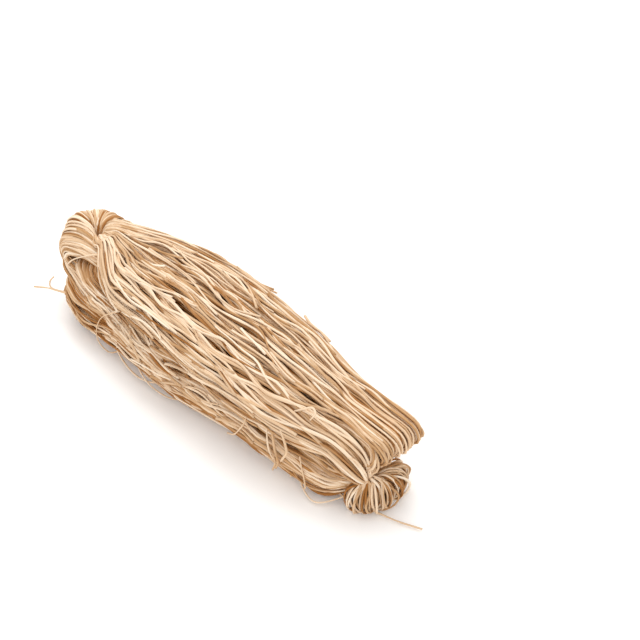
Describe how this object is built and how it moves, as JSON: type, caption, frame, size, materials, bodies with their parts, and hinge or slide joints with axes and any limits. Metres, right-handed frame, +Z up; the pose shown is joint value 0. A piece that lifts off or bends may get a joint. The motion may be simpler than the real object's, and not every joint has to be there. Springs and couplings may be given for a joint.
{
  "type": "bundle of flat rice noodles",
  "caption": "Dried hank of flat rice noodles, folded into two sheets that fan out from a pinch, with rolled loops at each end.",
  "frame": {"origin": "middle of the flat underside that the bundle lies on, with its loose single noodles counted in its length and width", "axes": "+X along the bundle from the head roll to the tail tuft, +Z up, -Y towards the viewer's near side"},
  "size_m": [0.2342, 0.0654, 0.043],
  "materials": {
    "dry_noodle": "dry, slightly translucent, cream to tan"
  },
  "bodies": {
    "root": {"noodle_bundle": "dry_noodle"}
  },
  "joints": []
}
